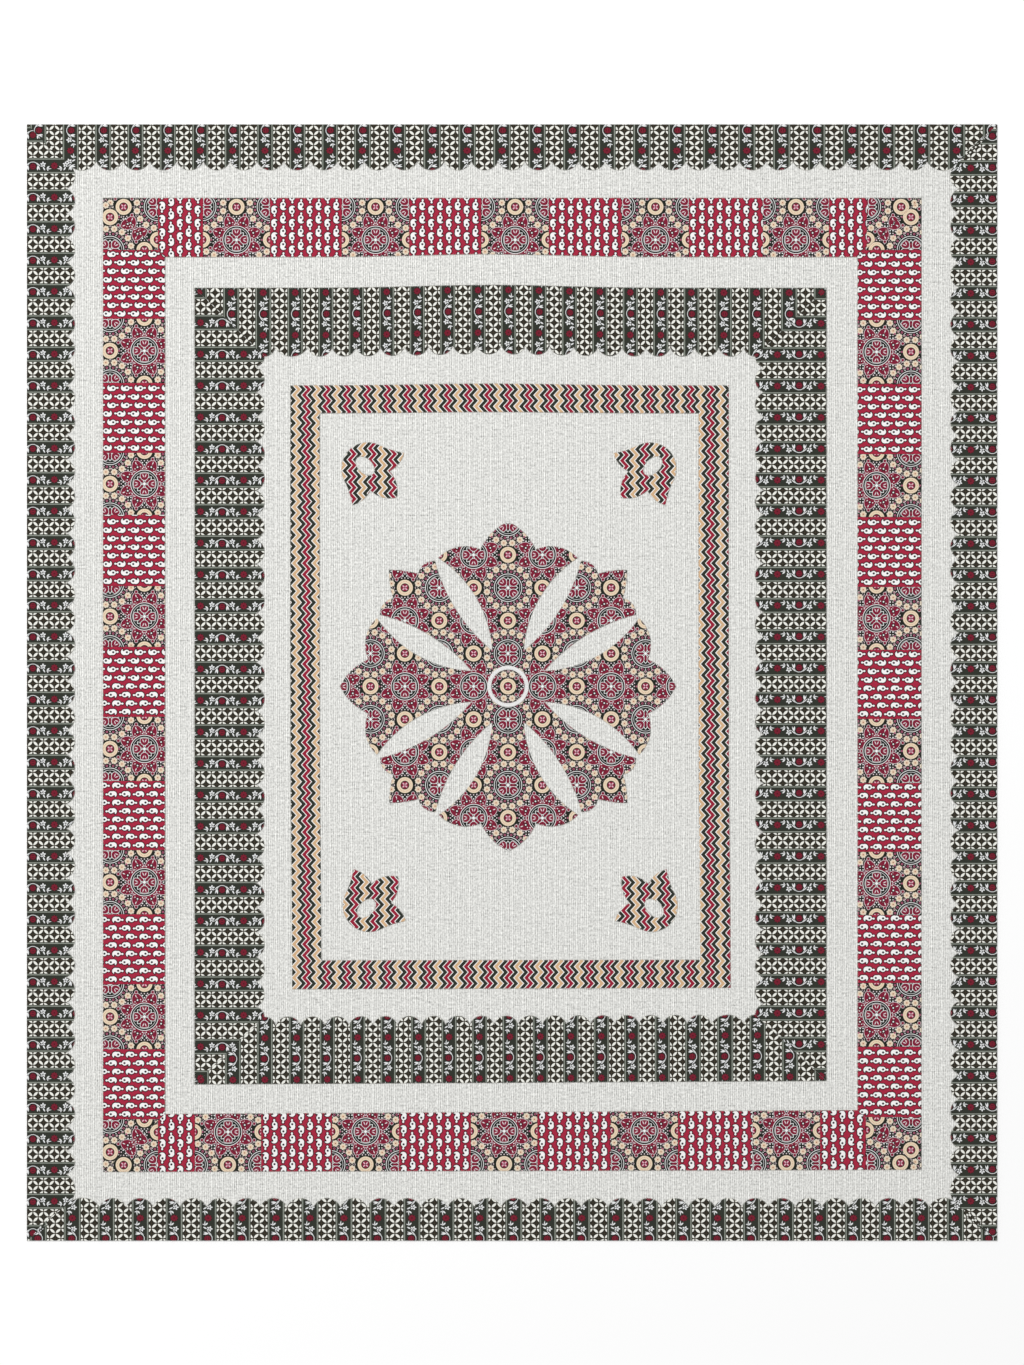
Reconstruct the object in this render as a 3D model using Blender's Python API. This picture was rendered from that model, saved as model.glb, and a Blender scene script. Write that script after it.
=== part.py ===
"""A bedsheet of applique and patchwork, lying flat.  Metres, +Z up.

A plain slub cloth carries, from its edge to its middle: four strips of a striped
cloth with scalloped inner edges, four strips pieced from patches, four more
scalloped strips, a frame of chevron cloth cut in one piece, four corner motifs,
and a cut-work medallion of eight petals with a white ring on it.

X runs across the sheet and Y along it.  The origin is under the sheet's middle.
"""

from collections import namedtuple
import math

import bmesh
import bpy
from mathutils import Matrix, Vector

Rect = namedtuple("Rect", "left right bottom top")

# Cloths
SHEET_WIDTH = 2.286
SHEET_LENGTH = 2.630
BASE_THICKNESS = 0.0015
APPLIQUE_THICKNESS = 0.0010
GAP = 0.0003
APPLIQUE_BOTTOM = BASE_THICKNESS + GAP
RING_BOTTOM = APPLIQUE_BOTTOM + APPLIQUE_THICKNESS + GAP

# The rectangles of the bands, which are sewn on by eye and so lie a little off
# centre.  A scalloped edge's rectangle runs along the crests of its lobes.
SHEET = Rect(-SHEET_WIDTH / 2, SHEET_WIDTH / 2, -SHEET_LENGTH / 2, SHEET_LENGTH / 2)
#                          left    right   bottom  top
OUTER_BORDER_CRESTS = Rect(-1.030, 1.033, -1.215, 1.207)
PATCH_BORDER_OUTER = Rect(-0.964, 0.965, -1.151, 1.142)
PATCH_BORDER_INNER = Rect(-0.817, 0.814, -1.012, 1.002)
INNER_BORDER_OUTER = Rect(-0.748, 0.741, -0.943, 0.930)
INNER_BORDER_CRESTS = Rect(-0.583, 0.573, -0.785, 0.768)
CHEVRON_OUTER = Rect(-0.522, 0.511, -0.721, 0.700)
CHEVRON_INNER = Rect(-0.453, 0.440, -0.654, 0.634)

# Scalloped edges.  A row gives the cusps next to each inner corner, by their
# distance from it, and the count of even lobes between them.
SCALLOP_DEPTH = 0.021
LOBE_STEPS = 6
CORNER_CUSP = 0.93               # of the way from the sheet's corner to the crests' corner
Scallops = namedtuple("Scallops", "first_cusps even_lobes last_cusps")
OUTER_SCALLOPS = {
    "top": Scallops((0.058,), 31, (0.063,)),
    "bottom": Scallops((0.066,), 31, (0.058,)),
    "left": Scallops((0.051,), 40, (0.066,)),
    "right": Scallops((0.051,), 40, (0.060,)),
}
INNER_SCALLOPS = {
    "top": Scallops((0.025, 0.102), 17, (0.027, 0.086)),
    "bottom": Scallops((0.026, 0.085), 17, (0.026, 0.103)),
    "left": Scallops((0.024, 0.084), 24, (0.023, 0.081)),
    "right": Scallops((0.026, 0.084), 24, (0.025, 0.087)),
}

# The medallion, from a cardinal petal's axis to the diagonal petal's, 45 degrees
# on.  Each row is a point of the outline and the bulge of the arc that leads to
# it, to the left of the way if positive.
MEDALLION_CENTRE = (-0.0094, -0.0092)
MEDALLION_STRETCH = 1.02         # across the sheet
PetalPoint = namedtuple("PetalPoint", "radius angle_deg bulge")
PETAL_OUTLINE = (
    PetalPoint(0.3880, 0.0, 0.0),        # tip of the cardinal petal
    PetalPoint(0.3290, 11.2, 0.0085),    # notch beside its middle lobe
    PetalPoint(0.3427, 28.0, 0.0160),    # point of its side lobe
    PetalPoint(0.0917, 23.4, -0.0300),   # inner end of the cut-out
    PetalPoint(0.3403, 29.7, -0.0200),   # point of the diagonal petal's side lobe
    PetalPoint(0.3368, 38.0, 0.0094),    # notch beside its middle lobe
    PetalPoint(0.3884, 45.0, 0.0025),    # tip of the diagonal petal
)
PETAL_ARC_STEPS = 6
RING_INNER_RADIUS = 0.0394
RING_OUTER_RADIUS = 0.0488
RING_STEPS = 32

# A corner motif, on the axis that runs from its round head to the sheet's middle.
# Half of it, from the head's back to the tip of its middle lobe.
MOTIF_CENTRE = (-0.0073, -0.0110)
MOTIF_OFFSET = (0.3389, 0.5210)
MotifPoint = namedtuple("MotifPoint", "along across bulge")
MOTIF_OUTLINE = (
    MotifPoint(-0.0530, 0.0000, 0.0),    # back of the round head
    MotifPoint(-0.0120, 0.0580, 0.0113),
    MotifPoint(0.0440, 0.0865, -0.0024), # tip of the side lobe
    MotifPoint(0.0495, 0.0316, 0.0060),  # notch
    MotifPoint(0.1054, 0.0000, 0.0083),  # tip of the middle lobe
)
MOTIF_ARC_STEPS = 5
MOTIF_HOLE_HALF_AXES = (0.0270, 0.0170)
MOTIF_HOLE_STEPS = 16

# How the cloth was pulled as it was sewn: smooth drifts that fade to nothing.
TOP_LIFT = 0.0070                # the upper bands' middles, away from the sheet's middle
TOP_LIFT_AT = -0.05
TOP_LIFT_HALF_WIDTH = 0.22
BOTTOM_SKEW = 0.0045             # the lower bands' right ends up, their left ends down
LOWER_LEAN = 0.0040              # the lower half of the chevron frame, to the right
EDGE_SPACING = 0.15              # between the points of a straight edge

# Colours
SLUB_WHITE = (0.75, 0.75, 0.72)
BORDER_OLIVE = (0.20, 0.19, 0.14)
PATCH_RED = (0.42, 0.10, 0.14)
CHEVRON_RED = (0.36, 0.14, 0.13)
MEDALLION_GREEN = (0.24, 0.17, 0.15)
RING_WHITE = (0.88, 0.88, 0.86)
CLOTH_ROUGHNESS = 0.9


# --- Points and outlines

def ramp(value, start, end):
    """0 before start and 1 after end, smooth between them."""
    t = min(max((value - start) / (end - start), 0.0), 1.0)
    return t * t * (3.0 - 2.0 * t)


def settle(point):
    """Move a point of an even layout to where the uneven sewing left it."""
    x, y = point
    upper = ramp(y, 0.35, 0.95) * (1.0 - ramp(y, 1.02, 1.13))
    bell = math.exp(-((x - TOP_LIFT_AT) / TOP_LIFT_HALF_WIDTH) ** 2)
    lower = ramp(-y, 0.50, 0.90) * (1.0 - ramp(-y, 1.10, 1.20))
    lean = ramp(-y, 0.10, 0.70) * (1.0 - ramp(abs(x), 0.53, 0.57)) * (1.0 - ramp(-y, 0.73, 0.77))
    lift = TOP_LIFT * bell * upper + BOTTOM_SKEW * (x / PATCH_BORDER_INNER.right) * lower
    return (x + LOWER_LEAN * lean, y + lift)


def arc(start, end, bulge, steps):
    """Points from start up to but not including end, on an arc that bulges to
    the left of the way by the given distance."""
    if abs(bulge) < 1e-6:
        return [start.lerp(end, i / steps) for i in range(steps)]
    chord = end - start
    half = chord.length / 2
    left = Vector((-chord.y, chord.x)).normalized()
    radius = (half * half + bulge * bulge) / (2 * bulge)
    centre = (start + end) / 2 + left * (bulge - radius)
    sweep = -4 * math.atan(bulge / half)
    spoke = start - centre
    return [centre + Matrix.Rotation(sweep * i / steps, 2) @ spoke for i in range(steps)]


def straight(start, end):
    return arc(start, end, 0.0, max(1, round((end - start).length / EDGE_SPACING)))


def side_corners(rect, side):
    """A side's two corners, from left to right or from top to bottom."""
    if side in ("top", "bottom"):
        y = getattr(rect, side)
        return Vector((rect.left, y)), Vector((rect.right, y))
    x = getattr(rect, side)
    return Vector((x, rect.top)), Vector((x, rect.bottom))


OUTWARD = {
    "top": Vector((0, 1)),
    "bottom": Vector((0, -1)),
    "left": Vector((-1, 0)),
    "right": Vector((1, 0)),
}


def scalloped(side, crests, start, end, row, half_lobes):
    """Points of a scalloped edge from one inner corner up to but not including
    the other.  With half_lobes the end lobes are cut at their crests."""
    outward = OUTWARD[side]
    along = (side_corners(crests, side)[1] - side_corners(crests, side)[0]).normalized()
    crest_line = side_corners(crests, side)[0].dot(outward)
    inward_is_left = along.x * -outward.y + along.y * outward.x > 0

    def cusp(distance, corner):
        on_way = corner.dot(along) + distance
        return along * on_way + outward * (crest_line + SCALLOP_DEPTH)

    first = [cusp(d, start) for d in row.first_cusps]
    last = [cusp(-d, end) for d in sorted(row.last_cusps, reverse=True)]
    even = [first[-1].lerp(last[0], i / row.even_lobes) for i in range(1, row.even_lobes)]
    stops = [start] + first + even + last + [end]

    points = []
    for index, (here, there) in enumerate(zip(stops, stops[1:])):
        bulge = ((here + there) / 2).dot(outward) - crest_line
        steps = LOBE_STEPS
        if half_lobes and index in (0, len(stops) - 2):
            chord = (there - here).length
            radius = chord * chord / (2 * SCALLOP_DEPTH)
            bulge = radius - math.sqrt(radius * radius - chord * chord / 4)
            steps = LOBE_STEPS // 2
        points += arc(here, there, bulge if inward_is_left else -bulge, steps)
    return points


def strip_outline(side, outer, inner, row=None, half_lobes=False):
    """One side's strip of a band between two rectangles, mitred at its ends and
    held clear of the next strips.  A row of scallops shapes the inner edge."""
    outer_start, outer_end = side_corners(outer, side)
    inner_start, inner_end = side_corners(inner, side)
    if row and not half_lobes:
        inner_start = outer_start.lerp(inner_start, CORNER_CUSP)
        inner_end = outer_end.lerp(inner_end, CORNER_CUSP)
    clear = (outer_end - outer_start).normalized() * (0.75 * GAP)
    outer_start, inner_start = outer_start + clear, inner_start + clear
    outer_end, inner_end = outer_end - clear, inner_end - clear
    if row:
        inner_edge = scalloped(side, inner, inner_start, inner_end, row, half_lobes)
    else:
        inner_edge = straight(inner_start, inner_end)
    return straight(outer_start, outer_end) + [outer_end] + [inner_end] + inner_edge[::-1]


def rectangle_outline(rect):
    corners = [Vector((rect.left, rect.bottom)), Vector((rect.right, rect.bottom)),
               Vector((rect.right, rect.top)), Vector((rect.left, rect.top))]
    points = []
    for here, there in zip(corners, corners[1:] + corners[:1]):
        points += straight(here, there)
    return points


def medallion_outline():
    """Eight eighths, each 45 degrees on and every second one mirrored."""
    def place(row, eighth):
        angle = math.radians(row.angle_deg)
        if eighth % 2:
            angle = math.radians(45.0) - angle
        angle += math.radians(45.0) * eighth
        x = MEDALLION_CENTRE[0] + MEDALLION_STRETCH * row.radius * math.sin(angle)
        return Vector((x, MEDALLION_CENTRE[1] + row.radius * math.cos(angle)))

    points = []
    for eighth in range(8):
        ordered = PETAL_OUTLINE if eighth % 2 == 0 else PETAL_OUTLINE[::-1]
        for here, there in zip(ordered, ordered[1:]):
            bulge = there.bulge if eighth % 2 == 0 else here.bulge
            points += arc(place(here, eighth), place(there, eighth), bulge, PETAL_ARC_STEPS)
    return points


def circle(centre, half_axes, steps, turn=0.0):
    turned = Matrix.Rotation(turn, 2)
    angles = [2 * math.pi * i / steps for i in range(steps)]
    return [Vector(centre) + turned @ Vector((half_axes[0] * math.cos(a), half_axes[1] * math.sin(a)))
            for a in angles]


def motif_loops(right, upper):
    """A corner motif's outline and its hole, in the corner that the signs name."""
    centre = Vector((MOTIF_CENTRE[0] + right * MOTIF_OFFSET[0],
                     MOTIF_CENTRE[1] + upper * MOTIF_OFFSET[1]))
    along = Vector((-right, -upper)).normalized()
    across = Vector((-along.y, along.x))

    def place(row, side):
        return centre + along * row.along + across * (row.across * side)

    points = []
    for side in (-1, 1):
        ordered = MOTIF_OUTLINE if side < 0 else MOTIF_OUTLINE[::-1]
        for here, there in zip(ordered, ordered[1:]):
            bulge = there.bulge if side < 0 else here.bulge
            points += arc(place(here, side), place(there, side), -bulge, MOTIF_ARC_STEPS)
    turn = math.atan2(along.y, along.x)
    return [points, circle(centre, MOTIF_HOLE_HALF_AXES, MOTIF_HOLE_STEPS, turn)]


# --- Solids

def cloth_material(name, colour):
    material = bpy.data.materials.new(name)
    material.use_nodes = True
    shader = material.node_tree.nodes["Principled BSDF"]
    shader.inputs["Base Color"].default_value = (*colour, 1.0)
    shader.inputs["Roughness"].default_value = CLOTH_ROUGHNESS
    shader.inputs["Metallic"].default_value = 0.0
    return material


def add_cloth(name, loops, bottom, thickness, colour):
    """A flat solid of one cloth: the first loop is its outline, the rest are cut-outs."""
    shape = bmesh.new()
    for loop in loops:
        verts = [shape.verts.new((*settle(point), bottom)) for point in loop]
        for here, there in zip(verts, verts[1:] + verts[:1]):
            shape.edges.new((here, there))
    bmesh.ops.triangle_fill(shape, use_beauty=True, edges=shape.edges[:])
    raised = bmesh.ops.extrude_face_region(shape, geom=shape.faces[:])["geom"]
    raised_verts = [item for item in raised if isinstance(item, bmesh.types.BMVert)]
    bmesh.ops.translate(shape, verts=raised_verts, vec=(0.0, 0.0, thickness))
    bmesh.ops.recalc_face_normals(shape, faces=shape.faces[:])
    mesh = bpy.data.meshes.new(name)
    shape.to_mesh(mesh)
    shape.free()
    mesh.materials.append(cloth_material(name, colour))
    cloth = bpy.data.objects.new(name, mesh)
    bpy.context.scene.collection.objects.link(cloth)
    return cloth


def add_applique(name, loops, colour, bottom=APPLIQUE_BOTTOM):
    return add_cloth(name, loops, bottom, APPLIQUE_THICKNESS, colour)


def add_borders():
    for side in OUTWARD:
        outline = strip_outline(side, SHEET, OUTER_BORDER_CRESTS, OUTER_SCALLOPS[side])
        add_applique("outer_border_" + side, [outline], BORDER_OLIVE)

        outline = strip_outline(side, PATCH_BORDER_OUTER, PATCH_BORDER_INNER)
        add_applique("patch_border_" + side, [outline], PATCH_RED)

        outline = strip_outline(side, INNER_BORDER_OUTER, INNER_BORDER_CRESTS,
                                INNER_SCALLOPS[side], half_lobes=True)
        add_applique("inner_border_" + side, [outline], BORDER_OLIVE)


def add_centre():
    frame = [rectangle_outline(CHEVRON_OUTER), rectangle_outline(CHEVRON_INNER)]
    add_applique("chevron_frame", frame, CHEVRON_RED)
    for right, column in ((-1, "left"), (1, "right")):
        for upper, row in ((1, "top"), (-1, "bottom")):
            add_applique(f"corner_motif_{row}_{column}", motif_loops(right, upper), CHEVRON_RED)
    add_applique("medallion", [medallion_outline()], MEDALLION_GREEN)
    ring = [circle(MEDALLION_CENTRE, (RING_OUTER_RADIUS,) * 2, RING_STEPS),
            circle(MEDALLION_CENTRE, (RING_INNER_RADIUS,) * 2, RING_STEPS)]
    add_applique("medallion_ring", ring, RING_WHITE, bottom=RING_BOTTOM)


def main():
    for old in list(bpy.data.objects):
        bpy.data.objects.remove(old)
    corners = [Vector((SHEET.left, SHEET.bottom)), Vector((SHEET.right, SHEET.bottom)),
               Vector((SHEET.right, SHEET.top)), Vector((SHEET.left, SHEET.top))]
    add_cloth("base_sheet", [corners], 0.0, BASE_THICKNESS, SLUB_WHITE)
    add_borders()
    add_centre()


main()
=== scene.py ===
"""Looks of the applique patchwork bedsheet: its cloths, their prints, the sewing and the light.

Each cloth is a thin closed mesh over its CAD node's outline, with a turned edge.
Its print is worked out by shader nodes from the map "print", which holds metres on
the cloth before it was cut, so a strip or a patch carries its print with it.
Every length is in metres, and every colour that dyed() takes is 0 to 255 on screen.
"""

from collections import namedtuple
from functools import reduce
import math

import bmesh
import bpy
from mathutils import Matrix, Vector
from mathutils.geometry import delaunay_2d_cdt
from mathutils.kdtree import KDTree
import numpy as np


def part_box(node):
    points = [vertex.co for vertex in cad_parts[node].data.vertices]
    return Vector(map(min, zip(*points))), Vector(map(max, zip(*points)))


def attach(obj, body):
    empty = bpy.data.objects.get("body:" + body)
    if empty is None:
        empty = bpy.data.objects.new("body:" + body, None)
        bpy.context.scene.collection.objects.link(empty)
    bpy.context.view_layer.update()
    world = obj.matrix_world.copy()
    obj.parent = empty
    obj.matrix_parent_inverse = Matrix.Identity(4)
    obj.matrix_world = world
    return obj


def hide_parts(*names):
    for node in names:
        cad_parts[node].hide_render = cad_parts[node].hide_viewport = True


PRINT_MAP = "print"
KEPT_COLOUR_MAP = "OFBake"       # where a long cloth keeps its colours, laid in rows

MEDALLION_CENTRE = (-0.0094, -0.0092)
SIDES = ("top", "bottom", "left", "right")
UPRIGHT = ("left", "right")

# Outlines
TINY = 1e-9
LEVEL = 1e-12                    # rise of an edge that a level line can't cross
SAME_POINT = 1e-5
FACING_UP = 0.9                  # least upward part of a top face's normal
CURVE_STEP = 0.004               # between points of a curved edge
STRAIGHT_STEP = 0.010
STRAIGHT = 0.9999                # cosine of a turn too small to be a curve
CORNER_TURN = math.radians(28)   # an outline turns smoothly below this
LEAST_STEP = 0.0003              # where a cut meets an outline
MOST_BEND = 0.012                # of a strip's outer edge
POINTS_AT_ONCE = 1500            # tested against an outline

# Cloth meshes
APPLIQUE_GRID = 0.012
BASE_GRID = 0.018
GRID_MARGIN = 0.6                # from the last ring, as a share of the grid
TRIANGLES_INSIDE = 1             # what delaunay_2d_cdt makes
CLOSEST = 1e-7                   # that it leaves two points
RING_CLEARANCE = 0.95            # of a ring's inset, from every edge
LEAST_BESIDE_CREASE = 0.0008
BOX_MARGIN = 1e-4
SEAM_GAP = 0.00012
WAVES = ((17.0, 5.0, 0.6), (-9.0, 21.0, 2.1), (31.0, 13.0, 4.0), (11.0, -34.0, 1.3))
WAVE_HEIGHT = 0.00035

# Maps and flat sizes
A_HAIR = 1e-4                    # of the way from a face's corner to its middle
ROW_GAP = 0.012                  # between the parts of a long cloth laid in rows
UNDERSIDE_SHARE = 0.08           # of the map that keeps a long cloth's colours
MAP_MARGIN = 0.005
NEARLY_UPRIGHT = 0.3             # most that a side face's normal points up or down

# Height of a cloth's top over its underside, as shares of its thickness, by the
# distance from its edge: a fold, the turned-in allowance, and the single cloth.
Profile = namedtuple("Profile", "insets shares")
TURNED_EDGE = Profile((0.0, 0.0006, 0.0018, 0.0060, 0.0078), (0.42, 0.86, 1.0, 0.97, 0.72))
SEWN_SEAM = Profile((0.0, 0.0008, 0.0028, 0.0060, 0.0090), (0.34, 0.62, 0.86, 0.97, 1.0))
PLAIN_EDGE = Profile((0.0, 0.0006, 0.0020), (0.50, 0.90, 1.0))


# --- Outlines, read from the CAD nodes

def outlines(node):
    """The outline and cut-outs of a CAD cloth's top face, as arrays of points."""
    shape = bmesh.new()
    shape.from_mesh(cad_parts[node].data)
    bmesh.ops.remove_doubles(shape, verts=shape.verts[:], dist=SAME_POINT)
    shape.normal_update()
    top = {face for face in shape.faces if face.normal.z > FACING_UP}
    neighbours = {}
    for edge in shape.edges:
        if sum(face in top for face in edge.link_faces) == 1:
            for vert in edge.verts:
                neighbours.setdefault(vert, []).append(edge.other_vert(vert))
    edge_verts = set(neighbours)
    loops = []
    while edge_verts:
        vert = min(edge_verts, key=lambda v: (v.co.x, v.co.y))
        loop = []
        while vert is not None:
            loop.append((vert.co.x, vert.co.y))
            edge_verts.discard(vert)
            vert = next((v for v in neighbours[vert] if v in edge_verts), None)
        loops.append(np.array(loop))
    shape.free()
    loops.sort(key=lambda loop: -abs(signed_area(loop)))
    return [oriented(loop, index == 0) for index, loop in enumerate(loops)]


def signed_area(loop):
    """An outline's area, above 0 where it goes round anticlockwise."""
    x, y = loop.T
    return float(np.sum(x * np.roll(y, -1) - y * np.roll(x, -1))) / 2


def oriented(loop, anticlockwise):
    """The outline, turned round where it goes the other way."""
    return loop if (signed_area(loop) > 0) == anticlockwise else loop[::-1]


def smoothed(loop):
    """The outline with its curves drawn in finer steps and its corners kept."""
    way = np.roll(loop, -1, axis=0) - loop
    length = np.linalg.norm(way, axis=1)
    way = way / length[:, None]
    before = np.roll(way, 1, axis=0)
    corner = np.arccos(np.clip(np.sum(way * before, axis=1), -1, 1)) > CORNER_TURN
    tangent = way + before
    tangent /= np.maximum(np.linalg.norm(tangent, axis=1), TINY)[:, None]
    points = []
    for i in range(len(loop)):
        j = (i + 1) % len(loop)
        start, end = loop[i], loop[j]
        leaving, arriving = tangent[i], tangent[j]
        if corner[i]:
            leaving = 2 * way[i] * np.dot(way[i], arriving) - arriving
        if corner[j]:
            arriving = 2 * way[i] * np.dot(way[i], leaving) - leaving
        if corner[i] and corner[j]:
            leaving = arriving = way[i]
        straight = min(np.dot(leaving, way[i]), np.dot(arriving, way[i])) > STRAIGHT
        steps = max(1, math.ceil(length[i] / (STRAIGHT_STEP if straight else CURVE_STEP)))
        for step in range(steps):
            t = step / steps
            points.append(
                start * (1 + 2 * t) * (1 - t) ** 2 + end * t * t * (3 - 2 * t)
                + leaving * length[i] * t * (1 - t) ** 2 - arriving * length[i] * t * t * (1 - t))
    return np.array(points)


def inside(points, loops):
    """Whether each point is on the cloth: a line from it crosses an odd count of edges."""
    starts = np.concatenate(loops)
    ends = np.concatenate([np.roll(loop, -1, axis=0) for loop in loops])
    way = ends - starts
    slope = way[:, 0] / np.where(np.abs(way[:, 1]) < LEVEL, LEVEL, way[:, 1])
    found = []
    for part in np.array_split(points, len(points) // POINTS_AT_ONCE + 1):
        x, y = part[:, 0:1], part[:, 1:2]
        spans = (starts[:, 1] > y) != (ends[:, 1] > y)
        crossed = spans & (x < starts[:, 0] + (y - starts[:, 1]) * slope)
        found.append(crossed.sum(axis=1) % 2 == 1)
    return np.concatenate(found)


def edge_distance(points, loops):
    """How far each point is from the edges' nearest point."""
    edge = np.concatenate(loops)
    tree = KDTree(len(edge))
    for index, place in enumerate(edge):
        tree.insert((*place, 0.0), index)
    tree.balance()
    return np.array([tree.find((*point, 0.0))[2] for point in points])


def clear_of_edge(points, loops, distance):
    """The points on the cloth that are at least so far from the edges' points."""
    points = points[inside(points, loops)]
    return points[edge_distance(points, loops) >= distance]


def outwards(loop):
    """The way off the cloth at each point of its outline."""
    way = np.roll(loop, -1, axis=0) - np.roll(loop, 1, axis=0)
    way /= np.linalg.norm(way, axis=1)[:, None]
    return np.stack((way[:, 1], -way[:, 0]), axis=1)


def offset_points(loops, distance):
    """Points at a distance inside the outline, left out where another edge is nearer."""
    points = np.concatenate([loop - outwards(loop) * distance for loop in loops])
    return clear_of_edge(points, loops, RING_CLEARANCE * distance)


def grid_points(loops, spacing, margin):
    """An even triangular grid of points on the cloth, clear of its edges."""
    low, high = loops[0].min(axis=0), loops[0].max(axis=0)
    rows = np.arange(low[1], high[1], spacing * math.sqrt(3) / 2)
    columns = np.arange(low[0], high[0], spacing)
    x = columns[None, :] + (np.arange(len(rows)) % 2)[:, None] * spacing / 2
    points = np.stack((x, np.broadcast_to(rows[:, None], x.shape)), axis=2).reshape(-1, 2)
    return clear_of_edge(points, loops, margin)


def with_crossings(loop, axis, value):
    """The outline with a point wherever it crosses a value on an axis, 0 or 1."""
    points = []
    for here, there in zip(loop, np.roll(loop, -1, axis=0)):
        points.append(here)
        low, high = here[axis] - value, there[axis] - value
        if low * high < 0:
            crossing = here + (there - here) * low / (low - high)
            crossing[axis] = value
            points.append(crossing)
    return np.array(points)


def cut(loop, axis, low, high):
    """The part of an outline between two values on an axis."""
    for value, side in ((high, 1), (low, -1)):
        loop = with_crossings(loop, axis, value)
        loop = loop[side * (loop[:, axis] - value) <= 0]
        loop = loop[np.linalg.norm(loop - np.roll(loop, 1, axis=0), axis=1) > LEAST_STEP]
    return loop


# --- Cloth meshes

def lie(points):
    """How far the whole sheet, layers together, rises here from lying dead flat."""
    x, y = points.T
    waves = sum(np.sin(a * x + b * y + start) for a, b, start in WAVES)
    return WAVE_HEIGHT * (1 + waves / len(WAVES))


def creased(loops, creases):
    """The outlines with a point wherever a crease crosses them, and each crease as rows
    of points from edge to edge.  A crease is an axis, 0 or 1, and a value on it."""
    for axis, value in creases:
        loops = [with_crossings(loop, axis, value) for loop in loops]
    rows = []
    for axis, value in creases:
        on_line = sorted(p[1 - axis] for loop in loops for p in loop
                         if abs(p[axis] - value) < TINY)
        for low, high in zip(on_line[::2], on_line[1::2]):
            along = np.linspace(low, high, 2 + int((high - low) / APPLIQUE_GRID))
            row = np.full((len(along), 2), value)
            row[:, 1 - axis] = along
            rows.append(row)
    return loops, rows


def fill(points, loops, rows):
    """Triangles between the outlines' points and the loose points inside them, with
    the rows kept as edges.  Gives the points, the triangles, and which of the given
    points, with the rows' after them, each point is."""
    outlined = []
    first = 0
    for loop in loops:
        order = range(first, first + len(loop))
        outlined.append(list(order if first == 0 else reversed(order)))
        first += len(loop)
    kept = []
    first = len(points)
    for row in rows:
        kept += [(i, i + 1) for i in range(first, first + len(row) - 1)]
        first += len(row)
    points = np.concatenate([points] + rows)
    made, _, faces, origin, _, inside_of = delaunay_2d_cdt(
        [Vector(p) for p in points], kept, outlined, TRIANGLES_INSIDE, CLOSEST)
    on_cloth = [face for face, holders in zip(faces, inside_of) if list(holders) == [0]]
    return np.array([tuple(v) for v in made]), np.array(on_cloth), origin


def clear_of_creases(points, creases):
    """The points that aren't too near a crease."""
    for axis, value in creases:
        points = points[np.abs(points[:, axis] - value) > LEAST_BESIDE_CREASE]
    return points


def top_points(loops, rows, profile, spacing, creases):
    """The points of a cloth's top, its edges' first, and how high each one is as a
    share of the thickness.  The shares of the rows' points come after them."""
    rings = [np.concatenate(loops)]
    rings += [offset_points(loops, inset) for inset in profile.insets[1:]]
    rings.append(grid_points(loops, spacing, profile.insets[-1] + spacing * GRID_MARGIN))
    rings[1:] = [clear_of_creases(ring, creases) for ring in rings[1:]]
    shares = np.repeat(profile.shares + profile.shares[-1:], [len(ring) for ring in rings])
    if rows:
        distance = edge_distance(np.concatenate(rows), loops)
        shares = np.append(shares, np.interp(distance, profile.insets, profile.shares))
    return np.concatenate(rings), shares


def numbers(origin, first=0):
    """The made point that each given one became, numbered from the first."""
    return {source: first + index for index, sources in enumerate(origin) for source in sources}


def walls(loops, top, under):
    """The faces between the edges of a cloth's top and underside."""
    faces = []
    first = 0
    for loop in loops:
        for i in range(len(loop)):
            here, there = first + i, first + (i + 1) % len(loop)
            faces.append((under[here], under[there], top[there], top[here]))
        first += len(loop)
    return faces


def add_object(name, data):
    """Put a new object in the scene."""
    made = bpy.data.objects.new(name, data)
    bpy.context.scene.collection.objects.link(made)
    return made


def add_mesh(name, verts, faces):
    mesh = bpy.data.meshes.new(name)
    mesh.from_pydata(verts, [], faces)
    return add_object(name, mesh)


def cloth(name, loops, bottom, thickness, profile, spacing, creases=()):
    """A closed mesh of one cloth.  Only its top is smooth-shaded, and a cloth that
    lies on the floor is flat below."""
    loops, rows = creased(loops, creases)
    points, shares = top_points(loops, rows, profile, spacing, creases)
    top, faces, origin = fill(points, loops, rows)
    shares = shares[[sources[0] if sources else -1 for sources in origin]]
    height = bottom + thickness * shares + lie(top)

    row_ends = [row[[0, -1]] for row in rows]
    under, under_faces, under_origin = fill(np.concatenate(loops), loops, row_ends)
    under_height = bottom + lie(under) * (bottom > 0)
    under_faces = under_faces[:, ::-1] + len(top)

    verts = np.column_stack((np.concatenate((top, under)), np.append(height, under_height)))
    sides = walls(loops, numbers(origin), numbers(under_origin, len(top)))
    made = add_mesh(name, verts.tolist(), faces.tolist() + sides + under_faces.tolist())
    smooth = [True] * len(faces) + [False] * (len(sides) + len(under_faces))
    made.data.polygons.foreach_set("use_smooth", smooth)
    return made


def corners(mesh):
    """Every face corner's place, a hair towards its face's middle so that it is on
    the face's side of a crease, with the middle and the normal of its face."""
    vertex = np.empty(len(mesh.loops), int)
    normal = np.empty((len(mesh.polygons), 3))
    mesh.loops.foreach_get("vertex_index", vertex)
    mesh.polygons.foreach_get("normal", normal.ravel())
    starts = np.array([face.loop_start for face in mesh.polygons])
    totals = np.diff(np.append(starts, len(vertex)))
    place = np.array([v.co[:] for v in mesh.vertices])[vertex]
    middle = np.repeat(np.add.reduceat(place, starts) / totals[:, None], totals, axis=0)
    return place + (middle - place) * A_HAIR, middle, np.repeat(normal, totals, axis=0)


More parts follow.
